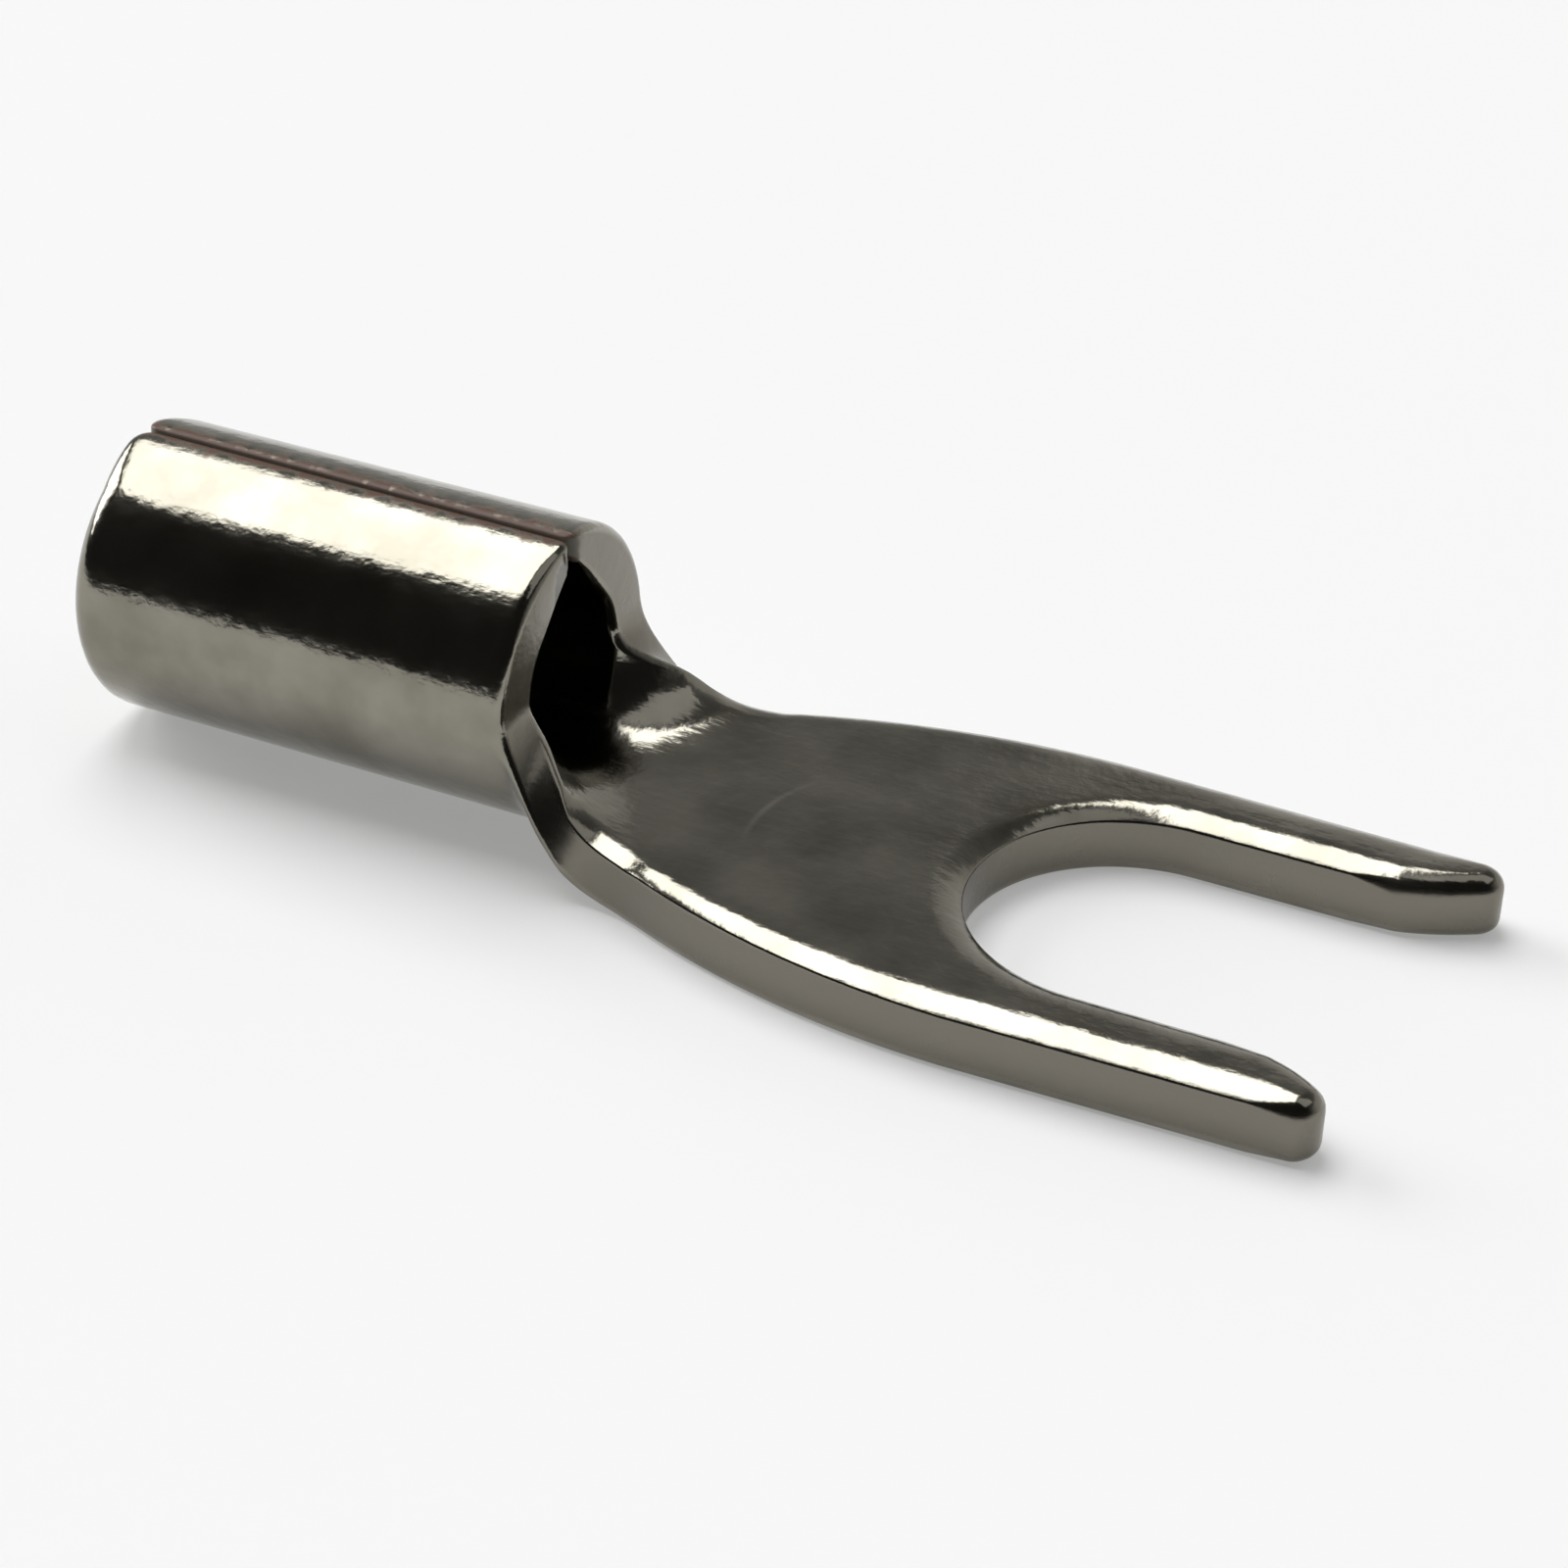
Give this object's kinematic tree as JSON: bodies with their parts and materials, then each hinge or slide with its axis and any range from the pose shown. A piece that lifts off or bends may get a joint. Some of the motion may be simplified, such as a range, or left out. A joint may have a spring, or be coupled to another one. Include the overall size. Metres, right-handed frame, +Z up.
{
  "type": "spade terminal",
  "caption": "Uninsulated crimp fork terminal: a rolled barrel for a wire and a flat forked tongue that slides under a screw head.",
  "frame": {"origin": "middle of the barrel's mouth, on the bore's axis, where the wire goes in", "axes": "+X along the bore from the wire end to the tips of the prongs, +Y across the fork, +Z up from the flat underside that the barrel and the tongue share"},
  "size_m": [0.0156, 0.0058, 0.0034],
  "materials": {
    "tin_plate": "bright tin plate on copper sheet, with fine scratches and small pits"
  },
  "bodies": {
    "root": {"spade_terminal": "tin_plate"}
  },
  "joints": []
}
